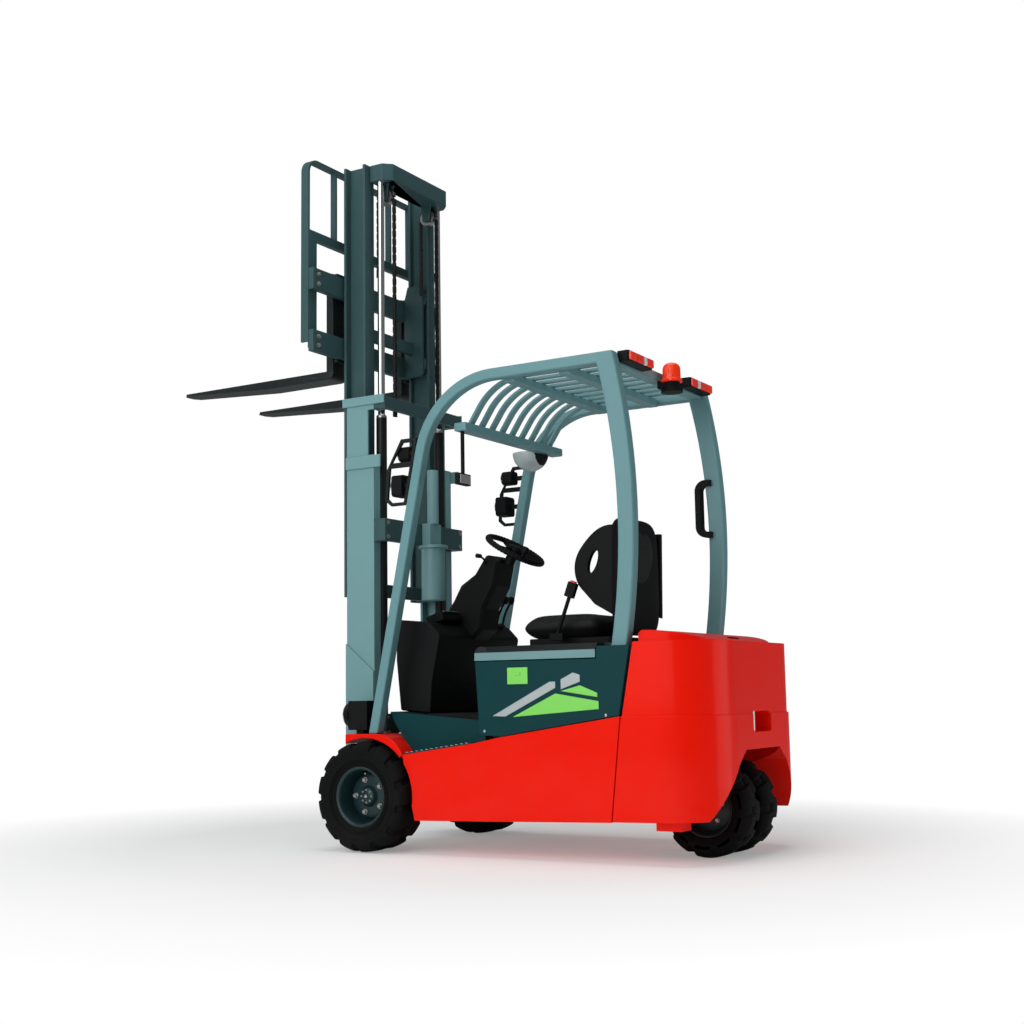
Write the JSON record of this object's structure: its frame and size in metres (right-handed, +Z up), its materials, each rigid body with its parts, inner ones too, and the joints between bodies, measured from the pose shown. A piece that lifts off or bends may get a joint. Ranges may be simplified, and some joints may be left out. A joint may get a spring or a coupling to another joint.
{
  "type": "three-wheel electric forklift truck",
  "caption": "Three-wheel electric counterbalance forklift with a tilting two-stage mast, forks, overhead guard, opening seat hood and steered twin rear wheels.",
  "frame": {"origin": "middle of the bounding box at floor level", "axes": "+X forward, towards the fork tips; +Y to the truck's left; +Z up"},
  "size_m": [2.833, 1.076, 3.0949],
  "materials": {
    "amber_lens": "gloss",
    "black_plastic": "matt",
    "cast_iron": "gloss paint",
    "chrome": "polished",
    "dark_paint": "satin",
    "grey_paint": "satin",
    "red_lens": "gloss",
    "red_paint": "gloss",
    "rim_paint": "satin",
    "seat_cover": "matt",
    "steel": "bright",
    "tyre": "matt"
  },
  "bodies": {
    "chassis": {"battery": "dark_paint", "beacon": "amber_lens", "beacon_base": "black_plastic", "chassis": "red_paint", "counterweight": "cast_iron", "cowl": "black_plastic", "drive_axle": "dark_paint", "fender_lamps": "black_plastic", "fenders": "red_paint", "floor_plate": "dark_paint", "grab_handle": "black_plastic", "guard_bars": "grey_paint", "guard_beams": "dark_paint", "guard_frames": "grey_paint", "lamp_frames": "grey_paint", "mirrors": "black_plastic", "pedals": "black_plastic", "pillar_lamps": "black_plastic", "rear_cover": "red_paint", "rear_lamps": "red_lens", "side_panels": "dark_paint", "steering_column": "black_plastic", "steps": "dark_paint", "tilt_brackets": "dark_paint"},
    "hood": {"hood": "grey_paint", "seat_base": "black_plastic", "seat_cushion": "seat_cover", "seat_back": "seat_cover", "hip_wings": "black_plastic", "belt_stalk": "black_plastic"},
    "mast": {"outer_rails": "grey_paint", "outer_ties": "dark_paint", "lift_barrels": "grey_paint", "guide_tube": "grey_paint", "rail_plates": "grey_paint"},
    "inner_mast": {"inner_rails": "dark_paint", "inner_ties": "dark_paint", "lift_rods": "chrome", "sheaves": "steel", "lift_chains": "steel"},
    "carriage": {"carriage_plates": "dark_paint", "fork_bars": "dark_paint", "backrest": "dark_paint", "fork_left": "dark_paint", "fork_right": "dark_paint"},
    "tilt_barrels": {"tilt_barrels": "dark_paint"},
    "tilt_rods": {"tilt_rods": "chrome"},
    "front_wheel_left": {"front_tyre_left": "tyre", "front_rim_left": "rim_paint"},
    "front_wheel_right": {"front_tyre_right": "tyre", "front_rim_right": "rim_paint"},
    "steer": {"steer_unit": "dark_paint"},
    "rear_wheels": {"rear_tyres": "tyre", "rear_rims": "rim_paint"},
    "steering_wheel": {"steering_wheel": "black_plastic"},
    "tow_pin": {"tow_pin": "steel"}
  },
  "joints": [
    {"name": "front_left_spin", "type": "hinge", "parent": "chassis", "child": "front_wheel_left", "pos_m": [0.1765, 0.439, 0.229], "axis": [0, 1, 0], "continuous": true},
    {"name": "front_right_spin", "type": "hinge", "parent": "chassis", "child": "front_wheel_right", "pos_m": [0.1765, -0.439, 0.229], "axis": [0, 1, 0], "continuous": true},
    {"name": "steer_turn", "type": "hinge", "parent": "chassis", "child": "steer", "pos_m": [-1.2235, 0, 0.19], "axis": [0, 0, 1], "range_deg": [-85, 85]},
    {"name": "rear_spin", "type": "hinge", "parent": "steer", "child": "rear_wheels", "pos_m": [-1.2235, 0, 0.19], "axis": [0, 1, 0], "continuous": true},
    {"name": "mast_tilt", "type": "hinge", "parent": "chassis", "child": "mast", "pos_m": [0.1765, 0, 0.229], "axis": [0, 1, 0], "range_deg": [-6, 5]},
    {"name": "inner_mast_slide", "type": "slide", "parent": "mast", "child": "inner_mast", "axis": [0, 0, 1], "range_m": [-1.02, 0.48]},
    {"name": "carriage_slide", "type": "slide", "parent": "inner_mast", "child": "carriage", "axis": [0, 0, 1], "range_m": [-1.02, 0.48]},
    {"name": "tilt_barrel_turn", "type": "hinge", "parent": "chassis", "child": "tilt_barrels", "pos_m": [-0.2435, 0, 0.43], "axis": [0, 1, 0], "range_deg": [-3, 3]},
    {"name": "tilt_rod_slide", "type": "slide", "parent": "tilt_barrels", "child": "tilt_rods", "axis": [0.9758, 0, 0.2185], "range_m": [-0.035, 0.03]},
    {"name": "steering_wheel_spin", "type": "hinge", "parent": "chassis", "child": "steering_wheel", "pos_m": [-0.2865, 0, 1.278], "axis": [-0.515, 0, 0.8572], "continuous": true},
    {"name": "hood_lift", "type": "hinge", "parent": "chassis", "child": "hood", "pos_m": [-1.0835, 0, 0.84], "axis": [0, -1, 0], "range_deg": [0, 50]},
    {"name": "tow_pin_lift", "type": "slide", "parent": "chassis", "child": "tow_pin", "axis": [0, 0, 1], "range_m": [0, 0.1]}
  ],
  "couplings": [
    {"joint": "carriage_slide", "follows": "inner_mast_slide", "ratio": 1},
    {"joint": "tilt_barrel_turn", "follows": "mast_tilt", "ratio": 0.11169},
    {"joint": "tilt_rod_slide", "follows": "mast_tilt", "m_per_rad": 0.2879}
  ]
}
